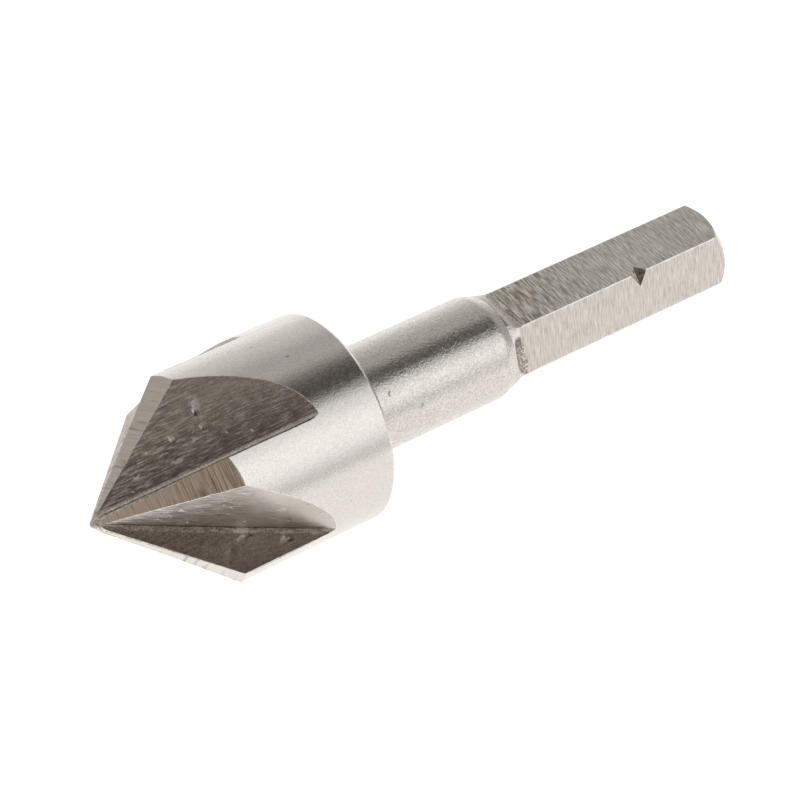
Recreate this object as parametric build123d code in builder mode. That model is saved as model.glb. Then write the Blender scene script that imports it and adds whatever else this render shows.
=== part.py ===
from build123d import *
import os
from math import asin, atan2, cos, degrees, radians, sin, tan

# Five-flute countersink bit turned and milled from one bar, lying at rest on its
# shoulder and on the end of one flat of its hex shank. Millimetres and degrees.
# Distances along the tool run from the apex of the cone towards the shank.

os.makedirs("parts", exist_ok=True)

# Turned form
head_diameter = 15.3
point_angle = 90.0
tip_flat_diameter = 0.24
head_length = 19.7
shoulder_chamfer = 0.32
neck_diameter = 7.82
neck_length = 12.9
neck_root_radius = 0.3
taper_length = 0.8

# Hex shank
shank_length = 20.1
side_count = 6
hex_across_flats = 6.35
hex_blank_diameter = 7.28
flat_setback = 0.9
flat_runout_radius = 1.1
end_chamfer_length = 0.6
end_chamfer_angle = 40.0

# Notch across one corner of the hex
notch_from_end = 8.1
notch_angle = 120.0
notch_depth = 0.45
notch_lean = 7.0

# Cutting edges
flute_count = 5
flute_clocking = 31.0
rake_offset = 0.23
flute_floor_angle = 26.7
flute_floor_offset = 0.08
flute_root_radius = 0.35
relief_angle = 13.0

# Worked out from the sizes above
head_radius = head_diameter / 2
neck_radius = neck_diameter / 2
blank_radius = hex_blank_diameter / 2
flat_radius = hex_across_flats / 2
tip_flat_radius = tip_flat_diameter / 2
cone_half_angle = radians(point_angle / 2)
cone_length = head_radius / tan(cone_half_angle)
tip_flat_at = tip_flat_radius / tan(cone_half_angle)
neck_end = head_length + neck_length
taper_end = neck_end + taper_length
overall_length = taper_end + shank_length
end_radius = blank_radius - end_chamfer_length * tan(radians(end_chamfer_angle))
cutting_margin = 1.0

# Rest: the rim of the shoulder and the end of the lowest flat touch the ground
rim_at = head_length - shoulder_chamfer
flat_end_at = overall_length - (flat_radius - end_radius) / tan(radians(end_chamfer_angle))
rest_tilt = atan2(head_radius - flat_radius, flat_end_at - rim_at)
apex_height = rim_at * sin(rest_tilt) + head_radius * cos(rest_tilt)
front_reach = tip_flat_at * cos(rest_tilt) - tip_flat_radius * sin(rest_tilt)
back_reach = overall_length * cos(rest_tilt) + end_radius * sin(rest_tilt)
apex_position = (-(front_reach + back_reach) / 2, 0, apex_height)

# Local z runs from the apex towards the shank, and local x points out of the top flat
tool_plane = Plane(
    origin=apex_position,
    x_dir=(sin(rest_tilt), 0, cos(rest_tilt)),
    z_dir=(cos(rest_tilt), 0, -sin(rest_tilt)),
)
tool_axis = Axis(tool_plane.origin, tool_plane.z_dir)


def turned_plane(angle):
    """The tool plane turned about the axis of the tool."""
    x_dir = tool_plane.x_dir.rotate(tool_axis, angle)
    return Plane(tool_plane.origin, x_dir=x_dir, z_dir=tool_plane.z_dir)


def axial_plane(angle):
    """Plane through the axis: local x runs to the shank, local y out at the angle."""
    turned = turned_plane(angle)
    return Plane(turned.origin, x_dir=turned.z_dir, z_dir=turned.y_dir)


def flute_plane(angle):
    """Plane square to a flute's root line: local x rises from the floor of the flute."""
    turned = turned_plane(angle)
    slope = radians(flute_floor_angle)
    root_start = turned.from_local_coords((flute_floor_offset, -rake_offset, 0))
    floor_normal = turned.x_dir * cos(slope) - turned.z_dir * sin(slope)
    root_line = turned.x_dir * sin(slope) + turned.z_dir * cos(slope)
    return Plane(root_start, x_dir=floor_normal, z_dir=root_line)


def relief_plane(angle):
    """Plane of a land: it holds the cutting edge and falls away behind it."""
    edge_angle = angle - degrees(asin(rake_offset / head_radius))
    edge = turned_plane(edge_angle)
    fall = radians(relief_angle)
    cone_normal = edge.x_dir * cos(cone_half_angle) - edge.z_dir * sin(cone_half_angle)
    cutting_edge = edge.x_dir * sin(cone_half_angle) + edge.z_dir * cos(cone_half_angle)
    land_normal = cone_normal * cos(fall) + edge.y_dir * sin(fall)
    return Plane(tool_plane.origin, x_dir=cutting_edge, z_dir=land_normal)


flute_angles = [flute_clocking + turn * 360 / flute_count for turn in range(flute_count)]
side_angle = 360 / side_count
flat_angles = [side * side_angle for side in range(side_count)]
corner_angle = side_angle / 2

with BuildPart() as countersink:
    # Turned blank: cone, head, shoulder, neck, taper and shank
    with BuildSketch(axial_plane(0)) as turned_profile:
        with BuildLine():
            Polyline(
                (tip_flat_at, 0),
                (tip_flat_at, tip_flat_radius),
                (cone_length, head_radius),
                (rim_at, head_radius),
                (head_length, head_radius - shoulder_chamfer),
                (head_length, neck_radius),
                (neck_end, neck_radius),
                (taper_end, blank_radius),
                (overall_length - end_chamfer_length, blank_radius),
                (overall_length, end_radius),
                (overall_length, 0),
                close=True,
            )
        make_face()
        neck_root = turned_profile.vertices().sort_by_distance((head_length, neck_radius))[0]
        fillet(neck_root, radius=neck_root_radius)
    revolve(axis=tool_axis)

    # Six milled flats, each running out in the arc of the cutter
    flat_start = taper_end + flat_setback
    for angle in flat_angles:
        with BuildSketch(axial_plane(angle)):
            with BuildLine():
                runout_top = flat_radius + flat_runout_radius
                arc_start = (flat_start - flat_runout_radius, runout_top)
                floor_start = (flat_start, flat_radius)
                floor_end = (overall_length + cutting_margin, flat_radius)
                RadiusArc(arc_start, floor_start, -flat_runout_radius)
                Polyline(floor_start, floor_end, (floor_end[0], runout_top), arc_start)
            make_face()
        extrude(amount=hex_blank_diameter, both=True, mode=Mode.SUBTRACT)

    # V notch across the corner of the hex between the top flat and the next one
    notch_at = overall_length - notch_from_end
    corner_radius = flat_radius / cos(radians(corner_angle))
    notch_bottom = corner_radius - notch_depth
    notch_top = corner_radius + cutting_margin
    notch_half_width = (notch_top - notch_bottom) * tan(radians(notch_angle / 2))
    with BuildSketch(axial_plane(corner_angle + notch_lean)):
        with BuildLine():
            Polyline(
                (notch_at, notch_bottom),
                (notch_at + notch_half_width, notch_top),
                (notch_at - notch_half_width, notch_top),
                close=True,
            )
        make_face()
    extrude(amount=hex_across_flats / 2, both=True, mode=Mode.SUBTRACT)

    # Relieved lands, flat from the cutting edge back
    for angle in flute_angles:
        split(bisect_by=relief_plane(angle), keep=Keep.BOTTOM)

    # Flutes: a square-cornered cutter run up the slope until it leaves the head
    flute_run = (head_radius - flute_floor_offset) / sin(radians(flute_floor_angle))
    for angle in flute_angles:
        with BuildSketch(flute_plane(angle).offset(-cutting_margin)) as cutter:
            Rectangle(head_diameter, head_diameter, align=(Align.MIN, Align.MAX))
            fillet(cutter.vertices().sort_by_distance((0, 0))[0], radius=flute_root_radius)
        extrude(amount=flute_run + 2 * cutting_margin, mode=Mode.SUBTRACT)

countersink.part.label = "countersink"
export_step(countersink.part, "parts/countersink.step")
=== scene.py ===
import math
import random
import bpy
import bmesh
from mathutils import Euler, Matrix, Vector, noise
from mathutils.geometry import delaunay_2d_cdt


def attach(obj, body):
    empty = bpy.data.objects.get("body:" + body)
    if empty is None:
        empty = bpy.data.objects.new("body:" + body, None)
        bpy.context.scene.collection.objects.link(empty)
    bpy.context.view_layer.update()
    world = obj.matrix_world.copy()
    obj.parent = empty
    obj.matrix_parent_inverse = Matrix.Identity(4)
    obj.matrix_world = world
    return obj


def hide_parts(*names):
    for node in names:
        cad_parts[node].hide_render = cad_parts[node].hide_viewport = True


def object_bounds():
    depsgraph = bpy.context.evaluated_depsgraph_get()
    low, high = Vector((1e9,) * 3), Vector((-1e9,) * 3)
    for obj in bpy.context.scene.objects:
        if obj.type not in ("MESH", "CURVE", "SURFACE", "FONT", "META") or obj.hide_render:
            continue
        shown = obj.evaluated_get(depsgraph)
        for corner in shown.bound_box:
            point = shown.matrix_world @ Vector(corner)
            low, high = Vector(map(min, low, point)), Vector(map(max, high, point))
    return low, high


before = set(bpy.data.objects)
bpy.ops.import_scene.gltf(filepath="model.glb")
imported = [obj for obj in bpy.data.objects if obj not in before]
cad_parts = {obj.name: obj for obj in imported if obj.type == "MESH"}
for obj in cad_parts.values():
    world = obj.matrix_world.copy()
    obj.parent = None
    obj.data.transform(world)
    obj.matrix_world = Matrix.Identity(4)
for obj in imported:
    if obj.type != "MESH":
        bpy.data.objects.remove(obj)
cad_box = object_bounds()

# ---------------------------------------------------------------- sizes of the solid
# Lengths in millimetres. Places along the bit are measured from the apex of the cone.
MM = 0.001
HEAD_R = 7.65
HEAD_LEN = 19.7
RIM_AT = HEAD_LEN - 0.32
NECK_R = 3.91
NECK_ROOT_R = 0.3
NECK_END = HEAD_LEN + 12.9
TAPER_END = NECK_END + 0.8
BLANK_R = 3.64
FLATS = 6
FLAT_R = 3.175
FLAT_START = TAPER_END + 0.9
RUNOUT_R = 1.1
LENGTH = TAPER_END + 20.1
CHAMFER_AT = LENGTH - 0.6
END_CHAMFER = math.radians(40.0)
END_R = BLANK_R - (LENGTH - CHAMFER_AT) * math.tan(END_CHAMFER)
NOTCH_AT = LENGTH - 8.1
TIP_FLAT_R = 0.12
CONE_HALF = math.radians(45.0)
FLUTES = 5
CLOCKING = 31.0
RAKE_OFFSET = 0.23
FLOOR_OFFSET = 0.08
FLOOR_ANGLE = math.radians(26.7)
RELIEF = math.radians(13.0)
ROOT_R = 0.35

# ---------------------------------------------------------------- the bit's own frame
# It lies on the rim of its shoulder and on the end of its lowest flat, centred over the origin.
# Local z runs from the apex of the cone to the shank and local x points out of the top flat.
FLAT_END_AT = LENGTH - (FLAT_R - END_R) / math.tan(END_CHAMFER)
REST_TILT = math.atan2(HEAD_R - FLAT_R, FLAT_END_AT - RIM_AT)
APEX_HEIGHT = RIM_AT * math.sin(REST_TILT) + HEAD_R * math.cos(REST_TILT)
FRONT_REACH = TIP_FLAT_R / math.tan(CONE_HALF) * math.cos(REST_TILT) - TIP_FLAT_R * math.sin(REST_TILT)
BACK_REACH = LENGTH * math.cos(REST_TILT) + END_R * math.sin(REST_TILT)
APEX = Vector((-(FRONT_REACH + BACK_REACH) / 2, 0.0, APEX_HEIGHT)) * MM
AXIS = Vector((math.cos(REST_TILT), 0.0, -math.sin(REST_TILT)))
TOP_FLAT = Vector((math.sin(REST_TILT), 0.0, math.cos(REST_TILT)))
SIDE = AXIS.cross(TOP_FLAT)
TURN = Matrix((TOP_FLAT, SIDE, AXIS)).transposed()
TOOL = Matrix.Translation(APEX) @ TURN.to_4x4() @ Matrix.Scale(MM, 4)

# ---------------------------------------------------------------- camera
CAMERA_PLACE = Vector((-0.08428937, -0.09774074, 0.1786159))
CAMERA_ANGLES = (36.31193, -3.22051, -36.03764)
cam_data = bpy.data.cameras.new("camera")
cam = bpy.data.objects.new("camera", cam_data)
bpy.context.scene.collection.objects.link(cam)
cam_data.sensor_width = 36.0
cam_data.lens = 138.303
cam_data.clip_start = 0.01
cam_data.clip_end = 20.0
camera_turn = Euler([math.radians(a) for a in CAMERA_ANGLES])
cam.matrix_world = Matrix.LocRotScale(CAMERA_PLACE, camera_turn, None)
bpy.context.scene.camera = cam


# ---------------------------------------------------------------- node helper
class Nodes:
    """Builds a node tree with short calls. A value is a number, a tuple or another node's output."""

    def __init__(self, tree):
        self.tree = tree
        tree.nodes.clear()

    def put(self, kind, inputs=None, out=0, **settings):
        """Adds a node and gives one of its outputs, or the node itself where it has none."""
        node = self.tree.nodes.new(kind)
        for key, value in settings.items():
            setattr(node, key, value)
        for key, value in (inputs or {}).items():
            socket = node.inputs[key]
            if isinstance(value, bpy.types.NodeSocket):
                self.tree.links.new(value, socket)
            else:
                socket.default_value = value
        return node.outputs[out] if len(node.outputs) else node

    def math(self, op, a, b=0.0, c=0.0):
        return self.put("ShaderNodeMath", {0: a, 1: b, 2: c}, operation=op)

    def times(self, a, b):
        return self.math("MULTIPLY", a, b)

    def times_plus(self, a, b, c):
        """a * b + c"""
        return self.math("MULTIPLY_ADD", a, b, c)

    def vector(self, op, a, b=(0.0, 0.0, 0.0), out=0):
        """A vector from out 0, or a number from out 1 for DOT_PRODUCT and LENGTH."""
        return self.put("ShaderNodeVectorMath", {0: a, 1: b}, out=out, operation=op)

    def split(self, vector, part):
        """One part of a vector: 0 for x, 1 for y and 2 for z."""
        return self.put("ShaderNodeSeparateXYZ", {0: vector}, out=part)

    def join(self, x, y=0.0):
        return self.put("ShaderNodeCombineXYZ", {0: x, 1: y})

    def ramp(self, value, a, b, lo=0.0, hi=1.0):
        """Smooth step: lo where the value is a, and hi where it is b. a may be the larger one."""
        ins = {"Value": value, "From Min": a, "From Max": b, "To Min": lo, "To Max": hi}
        return self.put("ShaderNodeMapRange", ins, interpolation_type="SMOOTHSTEP", clamp=True)

    def noise(self, vector, scale, detail=2.0, rough=0.5, distort=0.0):
        ins = {"Vector": vector, "Scale": scale, "Detail": detail}
        ins.update({"Roughness": rough, "Distortion": distort})
        return self.put("ShaderNodeTexNoise", ins)

    def stretch(self, vector, x, y, z=1.0):
        return self.vector("MULTIPLY", vector, (x, y, z))

    def mix(self, factor, a, b):
        """Colour a where the factor is zero, and colour b where it is one."""
        ins = {0: factor, 6: a, 7: b}
        return self.put("ShaderNodeMix", ins, out=2, data_type="RGBA", clamp_factor=True)


# ---------------------------------------------------------------- world
ROOM_LEVEL = 0.44
BENCH_DIMMING = 0.2
WHITE = (1, 1, 1, 1)
world = bpy.data.worlds.new("studio")
bpy.context.scene.world = world
world.use_nodes = True
sky = Nodes(world.node_tree)
looking = sky.put("ShaderNodeTexCoord", out=0)


def towards(azimuth, elevation):
    a, e = math.radians(azimuth), math.radians(elevation)
    return (math.cos(a) * math.cos(e), math.sin(a) * math.cos(e), math.sin(e))


def patch(azimuth, elevation, inner, outer, strength):
    """A soft round patch of the sky: strength inside the inner angle, nothing past the outer one."""
    dot = sky.vector("DOT_PRODUCT", looking, towards(azimuth, elevation), out=1)
    return sky.ramp(dot, math.cos(math.radians(outer)), math.cos(math.radians(inner)), 0.0, strength)


# The room is even, with two brighter places, two shaded ones overhead and a warm bench
room = sky.math("ADD", ROOM_LEVEL, patch(60, -14, 5, 50, 0.35))
room = sky.math("ADD", room, patch(36, 38, 3, 15, 0.09))
shade = sky.math("MAXIMUM", patch(-11, 54, 8, 34, 0.81), patch(-131, 54, 25, 50, 0.57))
bench = patch(-149, 14, 10, 38, 1.0)
room = sky.times(room, sky.math("SUBTRACT", 1.0, shade))
room = sky.times(room, sky.times_plus(bench, -BENCH_DIMMING, 1.0))
tint = sky.mix(shade, (1.0, 0.985, 0.965, 1), (1.0, 0.90, 0.82, 1))
tint = sky.mix(bench, tint, (1.0, 0.82, 0.66, 1))
ambient = sky.put("ShaderNodeBackground", {"Color": tint, "Strength": room})

# One soft window, dimmer towards the horizon. The camera itself sees plain white.
height = sky.split(looking, 2)
window = sky.times(patch(-50, 30, 23, 36, 0.82), sky.ramp(height, 0.035, 0.41, 0.5, 1.0))
lamp = sky.put("ShaderNodeBackground", {"Color": (1.0, 1.02, 1.04, 1), "Strength": window})
light = sky.put("ShaderNodeAddShader", {0: ambient, 1: lamp})
white = sky.put("ShaderNodeBackground", {"Color": WHITE, "Strength": 1.0})
path = sky.put("ShaderNodeLightPath")
sky.put("ShaderNodeOutputWorld", {0: sky.put("ShaderNodeMixShader", {0: path, 1: light, 2: white})})

# ---------------------------------------------------------------- floor
# White paper with a glow that only the camera and the steel see. Towards the far side, and away
# from the bit, the steel sees less of it.
PAPER_GREY = (0.8, 0.8, 0.8, 1)
PAPER_GLOW = 0.84
FAR_SIDE = (0.45, 0.89, 0.0)
bpy.ops.mesh.primitive_plane_add(size=3.0, location=(0, 0, 0))
floor = bpy.context.object
floor.name = "floor"
floor_mat = bpy.data.materials.new("floor_white")
floor_mat.use_nodes = True
sheet = Nodes(floor_mat.node_tree)
rays = sheet.tree.nodes.new("ShaderNodeLightPath")
seen = sheet.math("MAXIMUM", rays.outputs["Is Camera Ray"], rays.outputs["Is Glossy Ray"])
spot = sheet.put("ShaderNodeTexCoord", out=3)
back = sheet.vector("DOT_PRODUCT", spot, FAR_SIDE, out=1)
away = sheet.vector("LENGTH", spot, out=1)
dim_back = sheet.ramp(back, 0.015, 0.12, 0.04, 0.24)
dim_away = sheet.ramp(away, 0.08, 0.4, 0.0, 0.14)
dim = sheet.times(sheet.math("ADD", dim_back, dim_away), rays.outputs["Is Glossy Ray"])
glow = sheet.times(seen, sheet.math("SUBTRACT", PAPER_GLOW, dim))
glow = sheet.put("ShaderNodeEmission", {"Color": WHITE, "Strength": glow})
paper = sheet.put("ShaderNodeBsdfDiffuse", {"Color": PAPER_GREY})
sheet.put("ShaderNodeOutputMaterial", {0: sheet.put("ShaderNodeAddShader", {0: paper, 1: glow})})
floor.data.materials.append(floor_mat)

# ---------------------------------------------------------------- surfaces of the steel
# Each face has a kind and an index: the flute, the flat or the part of the turned form it is on.
# The kind is also the slot of its material. EDGE is the worn strip along an edge.
KINDS = 14
(TUMBLED, FLOOR, RAKE, LAND, FLAT, RUNOUT, FACE, NOTCH, EDGE, ROOT, ROOT_SHADED, SCARRED, CORNER,
 CONE) = range(KINDS)
HEAD, SHOULDER, NECK_ROOT, NECK, TAPER, BLANK, END = range(7)
PARTS_TO_NECK = ((RIM_AT, HEAD), (HEAD_LEN, SHOULDER), (HEAD_LEN + NECK_ROOT_R, NECK_ROOT),
                 (NECK_END, NECK))
TURNED_SLOPE = {HEAD: 0.0, SHOULDER: 1.0, NECK: 0.0, TAPER: (NECK_R - BLANK_R) / (TAPER_END - NECK_END),
                BLANK: 0.0, END: math.tan(END_CHAMFER)}
UP = Vector((0.0, 0.0, 1.0))
FLUTES_END = 17.0
NOTCH_REACH = 2.0
PARALLEL = 0.9999
NEAR = 0.02


def polar(angle):
    """Directions straight out from the axis at an angle, and round it."""
    a = math.radians(angle)
    return Vector((math.cos(a), math.sin(a), 0.0)), Vector((-math.sin(a), math.cos(a), 0.0))


class Flute:
    """Directions and planes of one flute and of the land behind its rake face."""

    def __init__(self, k):
        angle = CLOCKING + k * 360 / FLUTES
        self.out, self.turn = polar(angle)
        self.start = self.out * FLOOR_OFFSET - self.turn * RAKE_OFFSET
        self.rise = self.out * math.cos(FLOOR_ANGLE) - UP * math.sin(FLOOR_ANGLE)
        self.along = self.out * math.sin(FLOOR_ANGLE) + UP * math.cos(FLOOR_ANGLE)
        out, turn = polar(angle - math.degrees(math.asin(RAKE_OFFSET / HEAD_R)))
        cone = out * math.cos(CONE_HALF) - UP * math.sin(CONE_HALF)
        self.edge = out * math.sin(CONE_HALF) + UP * math.cos(CONE_HALF)
        self.land = cone * math.cos(RELIEF) + turn * math.sin(RELIEF)
        self.across = self.land.cross(self.edge)

    def floor_point(self, p):
        """Distances along the root line, out from the rake face and up from the floor."""
        q = p - self.start
        return q.dot(self.along), -q.dot(self.turn), q.dot(self.rise)


flutes = [Flute(k) for k in range(FLUTES)]
flats = [polar(360.0 / FLATS * j) for j in range(FLATS)]


def fluted_surface(n, c):
    """(surface, index) of a face made by a flute or a land, or None."""
    for k, fl in enumerate(flutes):
        _, q, h = fl.floor_point(c)
        if n.dot(fl.rise) > PARALLEL and abs(h) < NEAR:
            return FLOOR, k
        if n.dot(-fl.turn) > PARALLEL and abs(q) < NEAR:
            return RAKE, k
        if n.dot(fl.land) > PARALLEL and abs(c.dot(fl.land)) < NEAR:
            return LAND, k
        if max(abs(q - ROOT_R), abs(h - ROOT_R)) < ROOT_R + 0.01 and abs(n.dot(fl.along)) < 0.05:
            return ROOT, k
    return None


def flat_surface(n, c):
    """(surface, index) of a flat of the hex or of the arc at its end, or None."""
    in_runout = c.z < FLAT_START + 0.01 and n.z > 0.01 and math.hypot(c.x, c.y) < BLANK_R - 0.001
    for j, (out, turn) in enumerate(flats):
        if n.dot(out) > PARALLEL:
            return FLAT, j
        if in_runout and n.dot(out) > 0.0 and abs(n.dot(turn)) < 0.02:
            return RUNOUT, j
    return None


def classify(n, c):
    """(surface, index) of a face from its normal and middle, in the bit's own frame."""
    fluted = fluted_surface(n, c) if c.z < FLUTES_END else None
    if fluted:
        return fluted
    if c.z < HEAD_R and n.z < -0.6:
        return CONE, 0
    if abs(n.z) > 0.999:
        return FACE, 0 if c.z < 1.0 else 1 if c.z < LENGTH - 1.0 else 2
    for end, part in PARTS_TO_NECK:
        if c.z < end:
            return TUMBLED, part
    milled = flat_surface(n, c)
    if milled:
        return milled
    if c.z < TAPER_END:
        return TUMBLED, TAPER
    if abs(c.z - NOTCH_AT) < NOTCH_REACH and abs(n.z) > 0.35:
        return NOTCH, 0
    return TUMBLED, BLANK if c.z < CHAMFER_AT else END


# ---------------------------------------------------------------- dents
# Half a dent's length: above this its outline is ragged and its mesh is finer
RAGGED_FROM = 0.12


class Dent:
    """An oval dent in a flat face: a shallow ramp towards one end and a steep wall at the other.

    Place, length, width and depth are in millimetres, along the two axes of its face. The angle
    turns the steep end from the first axis, and skew says how much deeper that end is.
    """

    def __init__(self, a, b, length, width, angle, depth, skew=0.6):
        self.a, self.b, self.length, self.width = a, b, length / 2, width / 2
        self.cos, self.sin = math.cos(math.radians(angle)), math.sin(math.radians(angle))
        self.depth, self.skew = depth, skew
        self.ragged = self.length > RAGGED_FROM

    def local(self, a, b):
        """Place in the dent: both values run from -1 to 1. A large one is ragged and tapers."""
        x, y = a - self.a, b - self.b
        u, v = (x * self.cos + y * self.sin) / self.length, (y * self.cos - x * self.sin) / self.width
        if self.ragged:
            place = Vector((a * 6, b * 6, self.a * 3))
            u, v = u + 0.3 * noise.noise(place), v + 0.35 * noise.noise(place + Vector((0, 0, 9)))
            v /= 0.85 - 0.25 * max(-1.0, min(1.0, u))
        return u, v

    def at(self, a, b):
        """Depth of the dent at a point of the face."""
        u, v = self.local(a, b)
        r2 = u * u + v * v
        return 0.0 if r2 >= 1.0 else self.depth * (1.0 - r2) * (1.0 + self.skew * u)

    def points(self):
        """Points for the mesh: the middle, and rings of points as shares of the dent's size."""
        rings = (0.25, 0.5, 0.75, 0.95, 1.15, 1.35) if self.ragged else (0.5, 1.05)
        turns = 18 if self.ragged else 8
        yield self.a, self.b
        for r in rings:
            for i in range(turns):
                t = 2 * math.pi * i / turns
                u, v = r * math.cos(t) * self.length, r * math.sin(t) * self.width
                yield self.a + u * self.cos - v * self.sin, self.b + u * self.sin + v * self.cos


def face_axes(kind, k):
    """Origin, two axes in the face and its normal, for a flat, a floor, a rake face or a land."""
    if kind == FLAT:
        out, turn = flats[k]
        return out * FLAT_R, UP, -turn, out
    fl = flutes[k]
    if kind == FLOOR:
        return fl.start, fl.along, -fl.turn, fl.rise
    if kind == RAKE:
        return fl.start, fl.out, UP, -fl.turn
    return Vector(), fl.edge, fl.across, fl.land


# Dents of the two flutes that are most in view, placed one by one
dents = {(kind, k): [] for kind in (FLOOR, RAKE) for k in range(FLUTES)}
dents[FLOOR, 0] = [
    Dent(9.62, 3.95, 1.35, 0.66, -112, 0.045, 0.35),
    Dent(7.30, 2.66, 0.62, 0.42, -75, 0.06),
    Dent(8.70, 2.02, 0.46, 0.30, -60, 0.045),
    Dent(9.41, 2.58, 0.46, 0.24, -80, 0.04),
    Dent(7.11, 1.30, 0.42, 1.10, 90, 0.05),
    Dent(4.14, 1.36, 0.30, 0.60, 95, 0.05),
    Dent(12.41, 1.02, 0.30, 0.26, 0, 0.045),
    Dent(10.80, 1.58, 0.24, 0.20, 0, 0.04),
    Dent(5.44, 2.55, 0.28, 0.17, 40, 0.03),
    Dent(3.59, 0.62, 0.30, 0.18, 0, 0.03),
]
dents[RAKE, 1] = [
    Dent(5.20, 9.10, 1.35, 0.42, 92, 0.06),
    Dent(6.66, 11.55, 1.05, 0.62, 75, 0.07),
]
dents[FLOOR, 1] = [
    Dent(6.38, 0.80, 0.30, 0.20, 10, 0.04),
    Dent(10.26, 1.10, 0.30, 0.20, 20, 0.04),
]

# Every other face gets a few dents by chance, and all of them get specks. The ranges are the
# place along the two axes of the face, and then the sizes in the order of Dent.
DENT_PLACES = {FLOOR: ((4, 14), (0.8, 4.5)), RAKE: ((1.5, 6.5), (6, 12))}
DENT_SIZES = ((0.2, 0.6), (0.12, 0.25), (0, 180), (0.025, 0.05))
DENTS_BY_CHANCE = 5
SPECK_PLACES = {FLOOR: ((2, 15.5), (0.6, 5.6)), RAKE: ((1, 7), (2, 13))}
SPECK_SIZE, SPECK_STRETCH, SPECK_ANGLE = (0.05, 0.12), (1.0, 2.2), (-15, 15)
SPECK_DEPTH = 0.18
SPECKS = 26
chance = random.Random(7)


def draw(*ranges):
    """One random number from each range, in order."""
    return [chance.uniform(*limits) for limits in ranges]


for (kind, k), found in dents.items():
    if len(found) == 0:
        for i in range(DENTS_BY_CHANCE):
            found.append(Dent(*draw(*DENT_PLACES[kind], *DENT_SIZES)))
    for i in range(SPECKS):
        a, b, size, stretch, angle = draw(*SPECK_PLACES[kind], SPECK_SIZE, SPECK_STRETCH, SPECK_ANGLE)
        found.append(Dent(a, b, size * stretch, size, angle, size * SPECK_DEPTH))


def depth(key, a, b):
    """How far the face is dented at a point of it."""
    return max((d.at(a, b) for d in dents.get(key, [])), default=0.0)


# A dent's painted highlight and painted shade reach just past its rim and fade over a share of its
# size; specks have none
TONE_REACH = 1.1
TONE_FADE = 0.3
TONED_WIDTH = 0.06


def fraction(value):
    return min(1.0, max(0.0, value))


def dent_light_and_shade(key, a, b):
    """How much painted highlight lies on a dent's floor, and how much painted shade at its steep end,
    at a point.
    """
    pale, dark = 0.0, 0.0
    for d in dents.get(key, []):
        u, v = d.local(a, b)
        r = math.hypot(u, v)
        if r < TONE_REACH and d.width > TONED_WIDTH:
            inside = fraction((TONE_REACH - r) / TONE_FADE)
            pale = max(pale, inside * fraction((0.45 - u) / TONE_FADE))
            dark = max(dark, inside * fraction((u - 0.35) / TONE_FADE))
    return pale, dark


# ---------------------------------------------------------------- visual mesh
WELD = 0.002
SAME_FACE = math.radians(0.35)
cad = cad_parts["countersink"]
bm = bmesh.new()
bm.from_mesh(cad.data)
bm.transform(TOOL.inverted())
bmesh.ops.remove_doubles(bm, verts=bm.verts, dist=WELD)
bmesh.ops.dissolve_limit(bm, angle_limit=SAME_FACE, verts=bm.verts, edges=bm.edges)
bm.normal_update()
kind_of = bm.faces.layers.int.new("kind")
which_of = bm.faces.layers.int.new("which")
weight_of = bm.edges.layers.float.new("bevel_weight_edge")
for face in bm.faces:
    face[kind_of], face[which_of] = classify(face.normal, face.calc_center_median())


def surface_of(face):
    return face[kind_of], face[which_of]


# The slivers of cone by the cutting edges and the strips between the flats become one face each
STRIP_START = FLAT_START + 0.3
SLIVER_START = 0.9
blank = [f for f in bm.faces if surface_of(f) == (TUMBLED, BLANK)]
cut = blank + list({e for f in blank for e in f.edges}) + list({v for f in blank for v in f.verts})
bmesh.ops.bisect_plane(bm, geom=cut, dist=0.0001, plane_co=UP * STRIP_START, plane_no=UP)


def inside_narrow_face(edge):
    """Whether an edge runs lengthwise inside a sliver of the cone or a strip between two flats."""
    one, two = (surface_of(f) for f in edge.link_faces)
    low, high = sorted(v.co.z for v in edge.verts)
    in_sliver = one == (CONE, 0) and low > SLIVER_START
    in_strip = one == (TUMBLED, BLANK) and low > STRIP_START - 0.001
    return one == two and high > low + 0.01 and (in_sliver or in_strip)


inner = [e for e in bm.edges if inside_narrow_face(e)]
bmesh.ops.dissolve_edges(bm, edges=inner, use_verts=False)


def material_slot(face):
    """The kind of a face, but for the roots with painted shade, the scarred run-out and the strips
    between flats.
    """
    if face[kind_of] == ROOT and face[which_of] in (1, 3):
        return ROOT_SHADED
    if surface_of(face) == (RUNOUT, 1):
        return SCARRED
    if surface_of(face) == (TUMBLED, BLANK) and face.calc_center_median().z > STRIP_START:
        return CORNER
    return face[kind_of]


for face in bm.faces:
    face.material_index, face.smooth = material_slot(face), True


# The slope of a dent is taken over this distance to each side
SLOPE_STEP = 0.004


def surface_normal(kind, which, p, plain):
    """Normal of the true surface at a point of it, or the plain one of a face without a formula."""
    if kind == TUMBLED:
        out = Vector((p.x, p.y, 0.0)).normalized()
        if which == NECK_ROOT:
            centre = out * (NECK_R + NECK_ROOT_R) + UP * (HEAD_LEN + NECK_ROOT_R)
            return (centre - p).normalized()
        return (out + UP * TURNED_SLOPE[which]).normalized()
    if kind == CONE:
        return (Vector((p.x, p.y, 0.0)).normalized() - UP).normalized()
    if kind == RUNOUT:
        out = flats[which][0]
        return (out * (FLAT_R + RUNOUT_R - p.dot(out)) + UP * (FLAT_START - p.z)).normalized()
    if kind == ROOT:
        fl = flutes[which]
        _, q, h = fl.floor_point(p)
        return (-fl.turn * (ROOT_R - q) + fl.rise * (ROOT_R - h)).normalized()
    if kind in (FLOOR, RAKE):
        start, x, y, n = face_axes(kind, which)
        a, b, e = (p - start).dot(x), (p - start).dot(y), SLOPE_STEP
        da = (depth((kind, which), a + e, b) - depth((kind, which), a - e, b)) / (2 * e)
        db = (depth((kind, which), a, b + e) - depth((kind, which), a, b - e)) / (2 * e)
        return (n + x * da + y * db).normalized()
    if kind == LAND:
        return flutes[which].land
    if kind == FLAT:
        return flats[which][0]
    return plain


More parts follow.
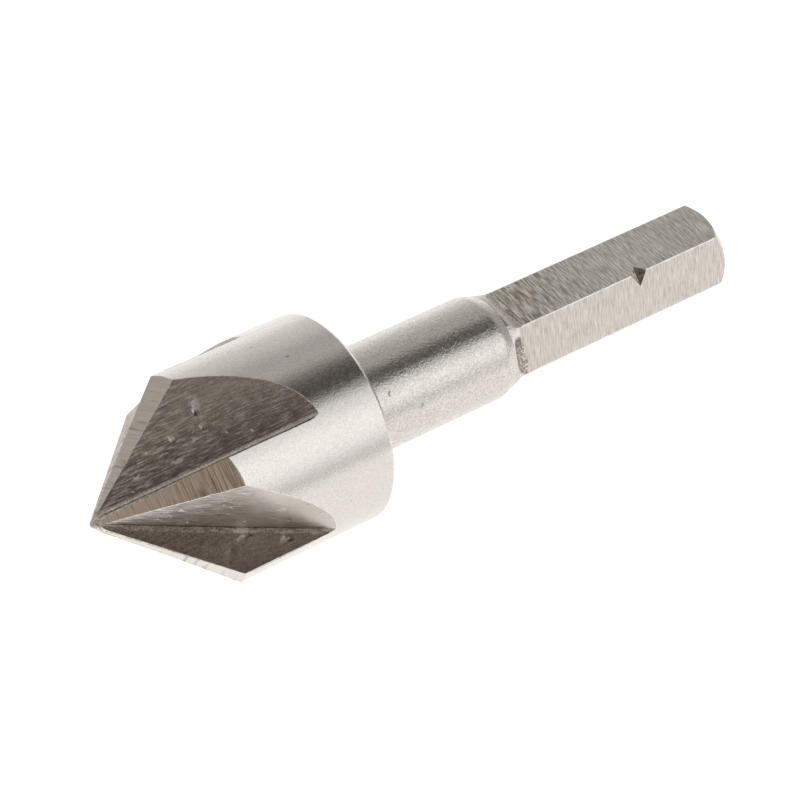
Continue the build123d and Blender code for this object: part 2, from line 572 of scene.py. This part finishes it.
# Long edges between two surfaces are cut into short runs, so wear can come and go along them
RUN = 0.3
for edge in list(bm.edges):
    one, two = edge.link_faces
    if surface_of(one) == surface_of(two):
        continue
    runs = math.ceil(edge.calc_length() / RUN)
    vert = edge.verts[0]
    for i in range(runs - 1):
        _, vert = bmesh.utils.edge_split(edge, vert, 1.0 / (runs - i))

# Worn edges: a bevel width in millimetres for each run, and small nicks along the cutting edges.
# Both fade out towards the tip, and on the sliver of cone they stay within its width. Where two
# surfaces meet at less than the least angle, in degrees, there is no edge to wear.
WIDEST = 0.25
EDGE_WEAR = {(FLOOR, LAND): 0.03, (RAKE, CONE): 0.03, (LAND, CONE): 0.0, (LAND, TUMBLED): 0.03,
             (FLAT, TUMBLED): 0.022, (RUNOUT, TUMBLED): 0.022}
OTHER_WEAR = 0.035
NECK_END_WEAR = 0.24
LEAST_ANGLE = 9.0
UNWORN_TIP, WORN_FROM = 0.7, 2.7
NICK_SIZE, NICKS_PER_MM, NICK_LEVEL = 0.09, 3.1, 0.2
NICK_SEED = Vector((5, 9, 2))


def sliver_width(z):
    """Width of the sliver of cone beside a cutting edge, at a distance from the apex."""
    return RAKE_OFFSET * (1.0 - z / HEAD_R)


nicks = {}
for edge in bm.edges:
    one, two = edge.link_faces
    middle = (edge.verts[0].co + edge.verts[1].co) / 2
    a, b = (surface_normal(*surface_of(f), middle, f.normal) for f in (one, two))
    hollow = (one.normal - two.normal).dot(one.calc_center_median() - two.calc_center_median()) < 0.0
    if math.degrees(a.angle(b)) < LEAST_ANGLE or hollow:
        continue
    kinds = {one[kind_of], two[kind_of]}
    wear = next((w for pair, w in EDGE_WEAR.items() if kinds == set(pair)), OTHER_WEAR)
    if abs(middle.z - NECK_END) < 0.01:
        wear = NECK_END_WEAR
    if CONE in kinds:
        wear = min(wear, 0.4 * sliver_width(middle.z))
    fade = fraction((middle.z - UNWORN_TIP) / (WORN_FROM - UNWORN_TIP))
    edge[weight_of] = max(0.0, wear * fade / WIDEST)
    if middle.z < HEAD_LEN and kinds & {FLOOR, LAND, RAKE} and kinds != {LAND, CONE}:
        for vert in edge.verts:
            size = max(0.0, noise.noise(vert.co * NICKS_PER_MM + NICK_SEED) - NICK_LEVEL) * NICK_SIZE
            if CONE in kinds:
                size = min(size, 0.3 * sliver_width(vert.co.z))
            nicks[vert] = -(a + b).normalized() * size * fade

for vert, move in nicks.items():
    vert.co += move

# Floors, rake faces, lands and flats are meshed again: a grid, with rings of points round each dent
MESH_STEP = 0.7
ROW_SHIFT = 0.2
RIM_CLEARANCE = 0.09


def clear_of(p, outline):
    """Whether a point stays the clearance away from each side of an outline."""
    for u, v in zip(outline, outline[1:] + outline[:1]):
        along = v - u
        t = fraction((p - u).dot(along) / max(along.length_squared, 1e-9))
        if (p - u - along * t).length < RIM_CLEARANCE:
            return False
    return True


def mesh_points(key, outline):
    """Points for the mesh of a face, clear of its outline: those of its dents and a grid."""
    spots = [Vector(p) for d in dents.get(key, []) for p in d.points()]
    lo = [min(p[i] for p in outline) for i in (0, 1)]
    hi = [max(p[i] for p in outline) for i in (0, 1)]
    for i in range(int((hi[0] - lo[0]) / MESH_STEP)):
        for j in range(int((hi[1] - lo[1]) / MESH_STEP)):
            x = lo[0] + MESH_STEP / 2 + i * MESH_STEP + ROW_SHIFT * (j % 2)
            spots.append(Vector((x, lo[1] + MESH_STEP / 2 + j * MESH_STEP)))
    return [p for p in spots if clear_of(p, outline)]


for face in [f for f in bm.faces if f[kind_of] in (FLOOR, RAKE, LAND, FLAT)]:
    key = surface_of(face)
    start, x, y, n = face_axes(*key)
    rim = list(face.verts)
    outline = [Vector(((v.co - start).dot(x), (v.co - start).dot(y))) for v in rim]
    spots = mesh_points(key, outline)
    made = delaunay_2d_cdt(outline + spots, [], [list(range(len(outline)))], 1, 1e-5)
    places, triangles, sources = made[0], made[2], made[3]
    verts = []
    for p, source in zip(places, sources):
        if source and source[0] < len(rim):
            verts.append(rim[source[0]])
        else:
            verts.append(bm.verts.new(start + x * p.x + y * p.y - n * depth(key, p.x, p.y)))
    bmesh.ops.delete(bm, geom=[face], context="FACES_ONLY")
    for corners in triangles:
        new = bm.faces.new([verts[i] for i in corners])
        new[kind_of], new[which_of] = key
        new.material_index, new.smooth = key[0], True
bmesh.ops.delete(bm, geom=[v for v in bm.verts if not v.link_faces], context="VERTS")

# The bevel is put on a draft with a slot for each kind, so its strips can take the slot EDGE
draft = bpy.data.meshes.new("draft")
bm.to_mesh(draft)
bm.free()
worker = bpy.data.objects.new("draft", draft)
bpy.context.scene.collection.objects.link(worker)
for i in range(KINDS):
    draft.materials.append(None)
round_off = worker.modifiers.new("worn_edges", "BEVEL")
round_off.limit_method = "WEIGHT"
round_off.width = WIDEST
round_off.segments = 2
round_off.use_clamp_overlap = False
round_off.material = EDGE
round_off.loop_slide = False
rounded = worker.evaluated_get(bpy.context.evaluated_depsgraph_get())
mesh = bpy.data.meshes.new_from_object(rounded)
bpy.data.objects.remove(worker)
mesh.name = "countersink_body"

kinds = [d.value for d in mesh.attributes["kind"].data]
whiches = [d.value for d in mesh.attributes["which"].data]

# At each vertex: the faces that meet there, and the sum of the normals of its worn strips
around, worn_and_lit = {}, {}
for poly in mesh.polygons:
    for v in poly.vertices:
        if poly.material_index != EDGE:
            around.setdefault(v, []).append(poly.index)
        else:
            worn_and_lit[v] = worn_and_lit.get(v, Vector()) + poly.normal


# The surfaces of one kind lie this far apart across the grain, so a material can tell them apart
FACE_GAP = 40.0
END_GRAIN_R = 4.0


def grain_point(kind, which, p):
    """Place on the surface in millimetres: along the grain's own axis, then across it."""
    theta = math.atan2(p.y, p.x)
    if kind in (FLOOR, ROOT):
        return flutes[which].floor_point(p)[:2]
    if kind == RAKE:
        return p.dot(flutes[which].out), p.z
    if kind == LAND:
        return p.dot(flutes[which].edge), p.dot(flutes[which].across)
    if kind == FLAT:
        return p.z, p.dot(flats[which][1])
    if kind == FACE:
        return math.hypot(p.x, p.y), theta * END_GRAIN_R
    return p.z, theta * math.hypot(p.x, p.y)


grain = mesh.uv_layers.new(name="grain")
# A second map carries each dent's painted highlight and painted shade to the materials
dent_light_shade = mesh.uv_layers.new(name="dent_light_shade")
normals = [Vector()] * len(mesh.loops)
for poly in mesh.polygons:
    kind, which = kinds[poly.index], whiches[poly.index]
    for loop in poly.loop_indices:
        v = mesh.loops[loop].vertex_index
        p = mesh.vertices[v].co
        if poly.material_index == EDGE:
            total = Vector()
            for other in around.get(v, []):
                flat_normal = mesh.polygons[other].normal.copy()
                total += surface_normal(kinds[other], whiches[other], p, flat_normal)
            normals[loop] = (total if total.length > 0 else worn_and_lit[v]).normalized()
        else:
            normals[loop] = surface_normal(kind, which, p, poly.normal.copy())
        u, w = grain_point(kind, which, p)
        grain.data[loop].uv = (u, w + FACE_GAP * which)
        if kind in (FLOOR, RAKE):
            start, x, y, _ = face_axes(kind, which)
            dent_light_shade.data[loop].uv = dent_light_and_shade((kind, which), (p - start).dot(x), (p - start).dot(y))
    if poly.material_index == EDGE and kind == TUMBLED and which in (NECK, TAPER):
        poly.material_index = TUMBLED

# Back to the place of the solid, and nowhere outside its box
mesh.transform(TOOL)
for v in mesh.vertices:
    v.co = [min(max(v.co[i], cad_box[0][i]), cad_box[1][i]) for i in range(3)]
mesh.normals_split_custom_set([(TURN @ n).normalized() for n in normals])
body = bpy.data.objects.new("countersink_body", mesh)
bpy.context.scene.collection.objects.link(body)


# ---------------------------------------------------------------- materials
class Steel(Nodes):
    """A steel surface. Its points and its heights are in millimetres, and one bump shows them."""

    def __init__(self, surface):
        self.material = bpy.data.materials.new("steel_" + surface)
        self.material.use_nodes = True
        super().__init__(self.material.node_tree)
        self.point = self.stretch(self.put("ShaderNodeTexCoord", out=3), 1 / MM, 1 / MM, 1 / MM)
        self.grain = self.put("ShaderNodeUVMap", uv_map="grain")
        self.grain_along = self.split(self.grain, 0)
        self.grain_across = self.split(self.grain, 1)
        self.height = 0.0

    def on_face(self, which):
        """One on the flute, land or flat with this index, and zero on the others."""
        return self.math("COMPARE", self.grain_across, FACE_GAP * which, FACE_GAP / 2)

    def across_face(self):
        """Distance across the grain, measured from the start of each face."""
        return self.math("MODULO", self.grain_across, FACE_GAP)

    def rise(self, value, amount):
        """Adds a value to the height of the surface, times an amount in millimetres."""
        self.height = self.times_plus(value, amount, self.height)

    def cells(self, vector, scale, chosen, inner, outer):
        """Small round spots, one in some of the cells of a lattice: one inside, zero outside."""
        node = self.tree.nodes.new("ShaderNodeTexVoronoi")
        self.tree.links.new(vector, node.inputs["Vector"])
        node.inputs["Scale"].default_value = scale
        pick = self.put("ShaderNodeSeparateColor", {0: node.outputs["Color"]})
        near = self.ramp(node.outputs["Distance"], inner, outer, 1.0, 0.0)
        return self.times(near, self.math("GREATER_THAN", pick, 1.0 - chosen))

    def dent_light_shade(self):
        """How much painted highlight on a dent's floor and painted shade at its steep end is here."""
        both = self.put("ShaderNodeUVMap", uv_map="dent_light_shade")
        return self.split(both, 0), self.split(both, 1)

    def curl(self, z, angle, radius, size, facing):
        """A curled dent on a turned surface: part of a ring, on the side that it faces."""
        out, turn = polar(angle)
        facing = math.radians(facing)
        place = TOOL @ (out * radius + UP * z) / MM
        side = TURN @ (UP * math.cos(facing) + turn * math.sin(facing))
        away = self.vector("SUBTRACT", self.point, place)
        ahead = self.vector("DOT_PRODUCT", away, side, out=1)
        far = self.math("SUBTRACT", self.vector("LENGTH", away, out=1), size * 0.4)
        far = self.times_plus(self.noise(self.point, 7.0), size * 0.8, far)
        off_ring = self.math("ABSOLUTE", self.math("SUBTRACT", far, size * 0.6))
        ring = self.ramp(off_ring, size * 0.2, size * 0.45, 1.0, 0.0)
        return self.times(ring, self.ramp(ahead, -size * 0.3, size * 0.1))

    def finish(self, colour, roughness):
        bump = self.put("ShaderNodeBump", {"Strength": 1.0, "Distance": MM, "Height": self.height})
        ins = {"Base Color": colour, "Metallic": 1.0, "Roughness": roughness, "Normal": bump}
        self.put("ShaderNodeOutputMaterial", {0: self.put("ShaderNodeBsdfPrincipled", ins)})
        return self.material


# Curled dents: place along the bit, angle round it, radius, size and the way each one faces
CURLS = (
    (22.57, 36.3, NECK_R, 0.20, 200),
    (24.68, 61.0, NECK_R, 0.24, 20),
    (23.69, -26.1, NECK_R, 0.09, 0),
    (15.51, -7.4, HEAD_R, 0.16, 90),
    (14.15, -24.1, HEAD_R, 0.12, 0),
)


def tumbled():
    """Barrel-finished steel: an even fine grain, coarser past the head, with pits and curled dents."""
    s = Steel("tumbled")
    # The parts past the head. A strip under the head, over 150 degrees round, passes this test too,
    # and a part of the shoulder's chamfer under the other half doesn't.
    neck = s.math("GREATER_THAN", s.grain_across, FACE_GAP / 2)
    fine = s.noise(s.point, 8.0, 3.0, 0.65)
    clumps = s.noise(s.point, 3.2, 3.0, 0.6)
    broad = s.noise(s.point, 1.3, 2.0)
    s.rise(fine, s.times_plus(neck, 0.004, 0.008))
    s.rise(s.noise(s.point, 5.2, 2.0, 0.6), s.times_plus(neck, 0.012, 0.003))
    s.rise(clumps, s.times_plus(neck, 0.006, 0.004))
    s.rise(broad, 0.008)
    pits = s.cells(s.point, 1.3, 0.25, 0.02, 0.09)
    marks = 0.0
    for curl in CURLS:
        marks = s.math("MAXIMUM", marks, s.curl(*curl))
    dips = s.math("MAXIMUM", pits, marks)
    s.rise(dips, -0.016)
    tone = s.mix(s.ramp(fine, 0.3, 0.7), (0.65, 0.61, 0.57, 1), (0.76, 0.72, 0.68, 1))
    dark_specks = s.times(neck, s.ramp(fine, 0.36, 0.54, 0.26, 0.0))
    pale_specks = s.times(neck, s.ramp(fine, 0.50, 0.66, 0.0, 0.35))
    tone = s.mix(dark_specks, tone, (0.36, 0.325, 0.29, 1))
    tone = s.mix(pale_specks, tone, (0.95, 0.92, 0.88, 1))
    tone = s.mix(s.times(dips, 0.75), tone, (0.30, 0.25, 0.21, 1))
    rough = s.ramp(s.noise(s.point, 3.1, 3.0), 0.3, 0.7, 0.15, 0.24)
    tone = s.mix(s.times(neck, s.ramp(clumps, 0.35, 0.65, 0.35, 0.0)), tone, (0.50, 0.46, 0.42, 1))
    return s.finish(tone, s.times_plus(neck, 0.035, rough))


def flute_floor():
    """Torn milling marks along the root, strongest towards the tip, over a mottled dark face."""
    s = Steel("flute_floor")
    stroke = (1.0, 0.95, 0.89, 1)
    front, side = s.on_face(0), s.on_face(1)
    tip = s.ramp(s.grain_along, 12.0, 5.0, 0.25, 0.9)
    torn = s.noise(s.stretch(s.grain, 0.8, 6.3), 1.0, 3.0, 0.6, 0.3)
    fine = s.noise(s.stretch(s.grain, 1.2, 8.6), 1.0, 2.0, 0.6)
    blots = s.noise(s.point, 1.1, 4.0, 0.6)
    speck = s.noise(s.point, 9.0, 3.0, 0.65)
    pale, dark = s.dent_light_shade()
    s.rise(torn, s.times(s.times_plus(tip, 0.036, 0.004), s.times_plus(side, -0.4, 1.0)))
    s.rise(fine, s.times_plus(front, 0.004, 0.003))
    s.rise(speck, s.times_plus(front, 0.006, 0.004))
    s.rise(blots, 0.012)

    # Mottling, evened out on all floors but the front one
    mottle = s.times_plus(speck, 0.55, s.times(fine, 0.45))
    mottle = s.times_plus(s.math("SUBTRACT", blots, 0.5), 0.45, mottle)
    tone = s.mix(s.ramp(mottle, 0.38, 0.62), (0.40, 0.345, 0.30, 1), (0.76, 0.68, 0.61, 1))
    tone = s.mix(s.times_plus(front, -0.45, 0.45), tone, (0.55, 0.51, 0.48, 1))

    # Painted shade along the root of every floor but the side one, and painted light further out on the
    # front floor. The side floor gets painted light, strongest by its root, and painted shade towards
    # its end
    from_root = s.across_face()
    deep = s.times(s.ramp(from_root, 0.3, 3.0, 0.38, 0.0), s.math("SUBTRACT", 1.0, side))
    outer = s.times(front, s.ramp(from_root, 2.0, 4.5, 0.0, 0.32))
    side_root = s.times(side, s.ramp(from_root, 0.5, 4.0, 0.85, 0.40))
    side_end = s.times(side, s.ramp(s.grain_along, 10.5, 14.0, 0.0, 0.85))
    tone = s.mix(deep, tone, (0.20, 0.165, 0.14, 1))
    tone = s.mix(outer, tone, (0.98, 0.89, 0.81, 1))
    tone = s.mix(side_root, tone, (0.97, 0.92, 0.87, 1))
    tone = s.mix(side_end, tone, (0.52, 0.47, 0.43, 1))

    # Torn strokes and gouges, then the dents' painted highlight and painted shade
    strokes = s.times(s.ramp(s.times_plus(fine, 0.5, torn), 0.74, 0.94), tip)
    gouges = s.times(s.ramp(torn, 0.46, 0.36), tip)
    tone = s.mix(s.times(strokes, s.times_plus(front, 0.25, 0.55)), tone, stroke)
    tone = s.mix(s.times(front, s.ramp(fine, 0.56, 0.66, 0.0, 0.55)), tone, stroke)
    tone = s.mix(s.times(gouges, 0.6), tone, (0.22, 0.18, 0.155, 1))
    tone = s.mix(pale, tone, (0.80, 0.75, 0.70, 1))
    tone = s.mix(dark, tone, (0.08, 0.065, 0.055, 1))
    rough = s.ramp(speck, 0.3, 0.7, 0.28, 0.38)
    return s.finish(tone, s.times_plus(s.math("MAXIMUM", strokes, pale), 0.22, rough))


def rake_face():
    """Dark and blotched, with faint streaks along the bit, pale dots, and dents with a painted
    highlight on their floor and painted shade at their steep end.
    """
    s = Steel("rake_face")
    speck = s.noise(s.point, 7.0, 4.0, 0.7)
    streak = s.noise(s.stretch(s.grain, 5.0, 1.2), 1.0, 3.0, 0.6)
    blots = s.noise(s.point, 0.9, 3.0, 0.6)
    pale, dark = s.dent_light_shade()
    s.rise(speck, 0.010)
    s.rise(streak, 0.004)
    s.rise(blots, 0.01)
    dots = s.cells(s.point, 2.3, 0.35, 0.03, 0.14)
    tone = s.times_plus(speck, 0.6, s.times(streak, 0.4))
    tone = s.mix(s.ramp(tone, 0.36, 0.64), (0.125, 0.10, 0.085, 1), (0.32, 0.268, 0.23, 1))
    tone = s.mix(s.ramp(s.grain_along, 4.0, 7.0, 0.0, 0.22), tone, (0.62, 0.55, 0.49, 1))
    tone = s.mix(s.times(dots, 0.6), tone, (0.80, 0.72, 0.65, 1))
    # Painted highlight on the dents' floors and painted shade at their steep ends
    tone = s.mix(pale, tone, (0.46, 0.41, 0.37, 1))
    tone = s.mix(dark, tone, (0.12, 0.095, 0.08, 1))
    return s.finish(tone, s.times_plus(pale, 0.15, s.ramp(speck, 0.3, 0.7, 0.33, 0.43)))


def land():
    """Ground across: crisp, slightly slanted lines, heaviest on the land that faces the light."""
    s = Steel("land")
    heavy = s.on_face(0)
    slanted = s.times_plus(s.grain_across, s.times_plus(heavy, -0.16, 0.06), s.grain_along)
    lines = s.join(s.times(slanted, 10.0), s.times(s.grain_across, 0.3))
    lines = s.noise(lines, 1.0, 3.0, 0.65, 0.15)
    deep = s.noise(s.stretch(s.grain, 2.6, 0.2), 1.0, 2.0, 0.5)
    speck = s.noise(s.point, 9.0, 2.0, 0.6)
    s.rise(lines, s.times_plus(heavy, 0.003, 0.001))
    s.rise(speck, 0.003)
    s.rise(deep, 0.003)
    plain = s.mix(s.ramp(lines, 0.36, 0.6), (0.58, 0.53, 0.47, 1), (0.68, 0.63, 0.57, 1))
    strong = s.mix(s.ramp(lines, 0.34, 0.60), (0.42, 0.34, 0.28, 1), (0.84, 0.73, 0.64, 1))
    strong = s.mix(s.ramp(lines, 0.40, 0.30), strong, (0.24, 0.18, 0.14, 1))
    inner = s.times_plus(s.noise(s.point, 1.5), 3.0, s.grain_along)
    strong = s.mix(s.ramp(inner, 11.5, 4.5, 0.0, 0.8), strong, (0.80, 0.70, 0.62, 1))
    strong = s.mix(s.ramp(inner, 2.9, 2.5, 0.0, 0.8), strong, (0.95, 0.91, 0.86, 1))
    tone = s.mix(heavy, plain, strong)
    tone = s.mix(s.times(s.on_face(1), 0.35), tone, (0.95, 0.93, 0.89, 1))
    tone = s.mix(s.times(s.ramp(deep, 0.54, 0.68), 0.6), tone, (0.30, 0.25, 0.21, 1))
    return s.finish(tone, s.ramp(lines, 0.3, 0.7, 0.28, 0.4))


def shank_flat():
    """Milled flats: short crossways scratches, bright and dark, that stand out most on the top flat.

    The second flat is rough at its run-out, up to the corner.
    """
    s = Steel("shank_flat")
    top, second = s.on_face(0), s.on_face(1)
    along = s.times_plus(s.grain_across, s.times_plus(top, -0.16, 0.08), s.grain_along)
    slanted = s.join(along, s.grain_across)
    lines = s.noise(s.stretch(slanted, 8.5, 0.85), 1.0, 2.0, 0.65, 0.1)
    strokes = s.noise(s.stretch(slanted, 8.0, 0.9), 1.0, 2.0, 0.5)
    speck = s.noise(s.point, 8.0, 3.0, 0.65)
    broad = s.noise(s.point, 0.6, 3.0)
    s.rise(lines, 0.004)
    s.rise(strokes, 0.004)
    s.rise(speck, 0.004)
    tone = s.mix(s.ramp(lines, 0.34, 0.64), (0.56, 0.51, 0.46, 1), (0.74, 0.70, 0.65, 1))
    strong = s.mix(s.ramp(lines, 0.40, 0.48), (0.32, 0.275, 0.235, 1), (0.64, 0.585, 0.52, 1))
    strong = s.mix(s.ramp(lines, 0.52, 0.58), strong, (1.0, 0.96, 0.90, 1))
    strong = s.mix(s.times(s.ramp(speck, 0.52, 0.66), 0.45), strong, (0.26, 0.22, 0.19, 1))
    tone = s.mix(top, tone, strong)
    tone = s.mix(s.times(s.ramp(strokes, 0.62, 0.72), 0.6), tone, (0.95, 0.93, 0.90, 1))
    tone = s.mix(s.times(s.ramp(strokes, 0.36, 0.28), 0.5), tone, (0.36, 0.30, 0.25, 1))
    # Painted light on the top flat, paler towards the shank end
    worn_and_lit = s.times(top, s.ramp(s.grain_along, 35.0, 44.0))
    tone = s.mix(s.times(worn_and_lit, 0.35), tone, (0.97, 0.94, 0.89, 1))
    reach = s.times_plus(s.noise(s.point, 2.0, 3.0, 0.6), 0.5, s.grain_along)
    rough_end = s.times(second, s.ramp(reach, FLAT_START + 0.42, FLAT_START + 0.56, 1.0, 0.0))
    rough_end = s.times(rough_end, s.ramp(s.grain_across, FACE_GAP - 1.2, FACE_GAP - 0.8))
    grit = s.ramp(s.noise(s.point, 6.5, 3.0, 0.7), 0.4, 0.6)
    tone = s.mix(rough_end, tone, s.mix(grit, (0.28, 0.24, 0.21, 1), (0.80, 0.75, 0.69, 1)))
    rough = s.times_plus(s.ramp(broad, 0.35, 0.65), 0.10, s.ramp(lines, 0.3, 0.7, 0.22, 0.34))
    return s.finish(tone, s.times_plus(rough_end, 0.2, rough))


def turned_face():
    """Faced ends: rings about the axis of the bit."""
    s = Steel("turned_face")
    from_apex = s.vector("SUBTRACT", s.point, APEX / MM)
    radius = s.vector("LENGTH", s.vector("CROSS_PRODUCT", from_apex, AXIS), out=1)
    rings = s.noise(s.join(s.times(radius, 7.0)), 1.0, 3.0, 0.6)
    speck = s.noise(s.point, 8.0, 3.0, 0.65)
    s.rise(rings, 0.004)
    s.rise(speck, 0.003)
    tone = s.mix(s.ramp(rings, 0.35, 0.65), (0.58, 0.53, 0.48, 1), (0.78, 0.74, 0.69, 1))
    return s.finish(tone, s.ramp(speck, 0.3, 0.7, 0.24, 0.34))


# A place off the end of the hollow
NO_SCRAPE = -9.0


def flute_root(surface, dark, light, shadow, scrape=NO_SCRAPE):
    """The hollow at the foot of a rake face, with one pale scraped place at a distance along it.

    The shadow is the strength of a dark line where the hollow meets the rake face.
    """
    s = Steel(surface)
    streak = s.noise(s.stretch(s.grain, 1.2, 9.0), 1.0, 3.0, 0.65, 0.2)
    speck = s.noise(s.point, 8.0, 4.0, 0.7)
    s.rise(speck, 0.012)
    s.rise(streak, 0.004)
    tone = s.times_plus(speck, 0.6, s.times(streak, 0.4))
    tone = s.mix(s.ramp(tone, 0.38, 0.62), dark, light)
    ragged = s.times_plus(speck, 0.16, s.across_face())
    tone = s.mix(s.ramp(ragged, 0.19, 0.11, 0.0, shadow), tone, (0.10, 0.08, 0.065, 1))
    far = s.math("ABSOLUTE", s.math("SUBTRACT", s.grain_along, scrape))
    far = s.times_plus(s.noise(s.point, 3.0, 3.0, 0.65), 1.2, far)
    tone = s.mix(s.ramp(far, 0.9, 1.2, 0.5, 0.0), tone, (0.62, 0.56, 0.50, 1))
    return s.finish(tone, 0.42)


def notch_walls():
    """Dark cut walls; the one on the tip's side has painted light, in pale specks, at its top."""
    s = Steel("notch")
    grit = s.noise(s.point, 6.0, 4.0, 0.7)
    s.rise(grit, 0.02)
    tone = s.mix(s.ramp(grit, 0.38, 0.62), (0.16, 0.13, 0.11, 1), (0.42, 0.355, 0.30, 1))
    speck = s.ramp(s.noise(s.point, 5.0, 3.0, 0.6), 0.44, 0.56)
    # Painted light on the wall on the tip's side, in pale specks
    painted_light_specks = s.mix(speck, (0.24, 0.20, 0.17, 1), (1.0, 0.95, 0.88, 1))
    tone = s.mix(s.math("LESS_THAN", s.grain_along, NOTCH_AT), tone, painted_light_specks)
    return s.finish(tone, 0.6)


def runout_scarred():
    """A rough patch, darker towards the top flat, that stops short of the corner there.

    Its limits are distances round the bit in millimetres.
    """
    s = Steel("runout_scarred")
    grit = s.noise(s.point, 6.5, 3.0, 0.7)
    across = s.times_plus(s.noise(s.point, 2.5, 2.0), 0.8, s.across_face())
    scarred = (0.20, 0.17, 0.145, 1)
    s.rise(grit, 0.025)
    tone = s.mix(s.ramp(grit, 0.40, 0.60), scarred, (0.70, 0.65, 0.59, 1))
    tone = s.mix(s.ramp(across, 4.3, 3.4, 0.0, 0.6), tone, scarred)
    tone = s.mix(s.ramp(across, 3.15, 2.95), tone, (0.84, 0.80, 0.76, 1))
    return s.finish(tone, 0.45)


def pitted(surface, dark, light, rough, relief=0.02, scale=6.0):
    """Plain steel with an even grit. Relief is its height in millimetres, scale its grains to one."""
    s = Steel(surface)
    grit = s.noise(s.point, scale, 4.0, 0.7)
    s.rise(grit, relief)
    return s.finish(s.mix(s.ramp(grit, 0.38, 0.62), dark, light), rough)


# One look for each kind of face, in the order of the kinds
looks = [
    tumbled(),
    flute_floor(),
    rake_face(),
    land(),
    shank_flat(),
    pitted("runout", (0.58, 0.53, 0.48, 1), (0.80, 0.76, 0.71, 1), 0.30, 0.01),
    turned_face(),
    notch_walls(),
    pitted("worn_edge", (0.68, 0.62, 0.56, 1), (1.0, 0.98, 0.95, 1), 0.42, 0.012, 3.5),
    flute_root("flute_root", (0.50, 0.43, 0.37, 1), (1.0, 0.94, 0.87, 1), 0.9),
    # Flutes 1 and 3 get the same root look, darker: painted shade
    flute_root("flute_root_shaded", (0.12, 0.10, 0.085, 1), (0.44, 0.38, 0.32, 1), 0.0, 10.2),
    runout_scarred(),
    pitted("corner_strip", (0.88, 0.85, 0.81, 1), (1.0, 0.98, 0.95, 1), 0.30, 0.004),
    pitted("cone_margin", (0.50, 0.43, 0.37, 1), (1.0, 0.96, 0.91, 1), 0.55, 0.02, 4.5),
]
for i, look in enumerate(looks):
    body.data.materials[i] = look
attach(body, "root")
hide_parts("countersink")

bpy.context.scene.view_settings.view_transform = "Standard"
